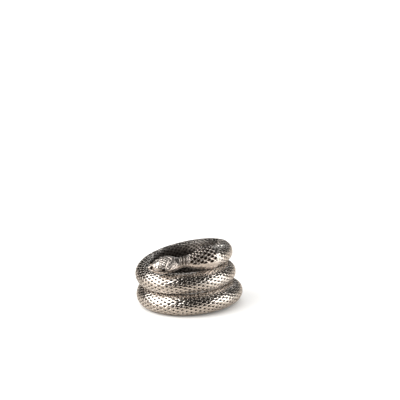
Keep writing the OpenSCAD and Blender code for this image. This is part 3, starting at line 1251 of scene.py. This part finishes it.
def mirrored_floor(tree):
    """The floor's tone for mirrored rays: dark ahead, partly dark at the left behind, bright on the right."""
    where = add(tree, "ShaderNodeTexCoord").outputs["Object"]
    at = add(tree, "ShaderNodeSeparateXYZ", {0: where}).outputs
    bearing = calc(tree, "ARCTAN2", at["X"], times(tree, at["Y"], -1.0))
    ahead = times(tree, fade(tree, at["Y"], *AHEAD_M), fade(tree, bearing, *NOT_LEFT, "LINEAR"))
    right = times(tree, fade(tree, at["X"], *BESIDE_M), fade(tree, bearing, *NOT_RIGHT, "LINEAR"))
    left_out = times(tree, fade(tree, at["X"], *LEFT_OUT_M, "LINEAR"), LEFT_BEHIND_SHARE)
    behind = times(tree, fade(tree, bearing, *LEFT_BEHIND, "LINEAR"), left_out)
    dark = calc(tree, "MAXIMUM", ahead, behind)
    return mixed_colour(tree, right, mixed_colour(tree, dark, MIRRORED_DIM, MIRRORED_DARK), MIRRORED_BRIGHT)


# %% Floor
FLOOR_REACH = 12000.0


def make_floor():
    material, tree, shader = new_material("pale_floor", Roughness=0.6, Specular_IOR_Level=0.0)
    pale = clouds(tree, Scale=3.0, Detail=3.0, First=PALE[0], Second=PALE[1])
    mirrored_ray = add(tree, "ShaderNodeLightPath").outputs["Is Glossy Ray"]
    feed(tree, shader, {"Base Color": mixed_colour(tree, mirrored_ray, pale, mirrored_floor(tree))})
    corners = [[-1, -1, 0], [1, -1, 0], [1, 1, 0], [-1, 1, 0]]
    floor = new_object("floor", FLOOR_REACH * np.array(corners), [[0, 1, 2, 3]], material)
    return floor


floor = make_floor()
print("floor, m across:", round(floor.dimensions.x, 1))

# %% Room
ROOM_SEEN = (0.97, 0.97, 0.965, 1)
ROOM_STRENGTH = 1.25
ROOM_DARK = (0.01, 0.009, 0.008, 1)
ROOM_DIM = (0.05, 0.05, 0.05, 1)
OVERHEAD_SHARE = 0.3


def make_room():
    world = bpy.data.worlds.new("room")
    bpy.context.scene.world = world
    world.use_nodes = True
    tree = world.node_tree
    seen = tree.nodes["Background"]
    feed(tree, seen, {"Color": ROOM_SEEN, "Strength": ROOM_STRENGTH})
    direction = add(tree, "ShaderNodeTexCoord").outputs["Generated"]
    split = add(tree, "ShaderNodeSeparateXYZ", {0: direction}).outputs
    behind = times(tree, fade(tree, split["Y"], -0.5, 0.8), fade(tree, split["X"], -0.3, 0.3))
    overhead = times(tree, fade(tree, split["Z"], 0.75, 0.97), OVERHEAD_SHARE)
    tone = mixed_colour(tree, calc(tree, "MAXIMUM", behind, overhead), ROOM_DARK, ROOM_DIM)
    mirrored = add(tree, "ShaderNodeBackground", {"Color": tone, "Strength": 1.0})
    mirrored_ray = add(tree, "ShaderNodeLightPath").outputs["Is Glossy Ray"]
    choose = add(tree, "ShaderNodeMixShader", {0: mirrored_ray, 1: seen.outputs[0], 2: mirrored.outputs[0]})
    tree.links.new(choose.outputs[0], tree.nodes["World Output"].inputs["Surface"])
    return world


room = make_room()
print("room:", len(room.node_tree.nodes), "nodes")

# %% Softboxes
MIDDLE = Vector((0.0, 0.0, 0.026))


def softbox(name, azimuth, elevation, distance, width, height, power, colour, roll=0):
    """A rectangular light that faces the bracelet. Azimuth 0 is the camera's side, and grows to the right."""
    az, el = math.radians(azimuth), math.radians(elevation)
    towards = Vector((math.sin(az) * math.cos(el), -math.cos(az) * math.cos(el), math.sin(el)))
    light = bpy.data.lights.new(name, "AREA")
    light.shape = "RECTANGLE"
    light.size = width
    light.size_y = height
    light.energy = power
    light.color = colour
    made = bpy.data.objects.new(name, light)
    made.location = MIDDLE + towards * distance
    facing = towards.to_track_quat("Z", "Y").to_matrix().to_4x4()
    made.rotation_euler = (facing @ Matrix.Rotation(math.radians(roll), 4, "Z")).to_euler()
    made.visible_camera = False
    bpy.context.scene.collection.objects.link(made)
    return made


softbox("left_box", -78, 35, 0.8, 0.88, 0.88, 7.3, (1.0, 0.985, 0.96), roll=-16)
softbox("right_box", 70, 12, 0.8, 0.58, 0.34, 2.0, (1.0, 0.99, 0.97))
softbox("back_box", 165, 35, 0.9, 0.6, 0.12, 0.42, (0.97, 0.99, 1.0))

# %% [markdown]
# ## Camera
#
# The camera stands where the picture was taken from: about 73 cm away and 17 degrees above the table. It
# looks a little past the bracelet, which is why that isn't in the middle of the picture. The anchor is the
# middle of the upright coil. Its place in the picture is known, and the camera turns step by step until the
# anchor lands there.

# %% Place the camera
ELEVATION = math.radians(16.72)
FOCAL_PX = 900.0
FRAME_PX = 400.0
ANCHOR_PX = (186.06, 276.48)
MM_A_PX = 0.814
CAMERA_ROLL = math.radians(-1.1)
SENSOR_MM = 36.0
AIMING_STEPS = 30


def camera_axes(yaw, pitch):
    """Right, up and forward of a camera turned by yaw and pitch, and then rolled."""
    ahead = np.array([math.sin(yaw) * math.cos(pitch), math.cos(yaw) * math.cos(pitch), math.sin(pitch)])
    right = unit(np.cross(ahead, [0, 0, 1.0]))
    above = np.cross(right, ahead)
    c, s = math.cos(CAMERA_ROLL), math.sin(CAMERA_ROLL)
    return c * right + s * above, c * above - s * right, ahead


def place_camera():
    sight = np.array([0, math.cos(ELEVATION), -math.sin(ELEVATION)])
    wanted = np.array([ANCHOR_PX[0] - FRAME_PX / 2, FRAME_PX / 2 - ANCHOR_PX[1]]) / FOCAL_PX
    yaw, pitch = 0.0, -ELEVATION
    for _ in range(AIMING_STEPS):
        right, above, ahead = camera_axes(yaw, pitch)
        off = wanted - np.array([sight @ right, sight @ above]) / (sight @ ahead)
        yaw -= off[0]
        pitch -= off[1]
    print("camera sees its anchor off by, px:", round(float(np.abs(off).max() * FOCAL_PX), 3))
    data = bpy.data.cameras.new("camera")
    data.sensor_width = SENSOR_MM
    data.lens = SENSOR_MM * FOCAL_PX / FRAME_PX
    camera = bpy.data.objects.new("camera", data)
    bpy.context.scene.collection.objects.link(camera)
    turn = Matrix([[right[k], above[k], -ahead[k]] for k in range(3)]).to_4x4()
    spot = (-SEAT - sight * FOCAL_PX * MM_A_PX) * MM
    camera.matrix_world = Matrix.Translation(Vector(spot)) @ turn
    bpy.context.scene.camera = camera
    return camera


camera = place_camera()
print("camera at, m:", [round(v, 3) for v in camera.matrix_world.translation])
bpy.context.scene.view_settings.view_transform = "Standard"
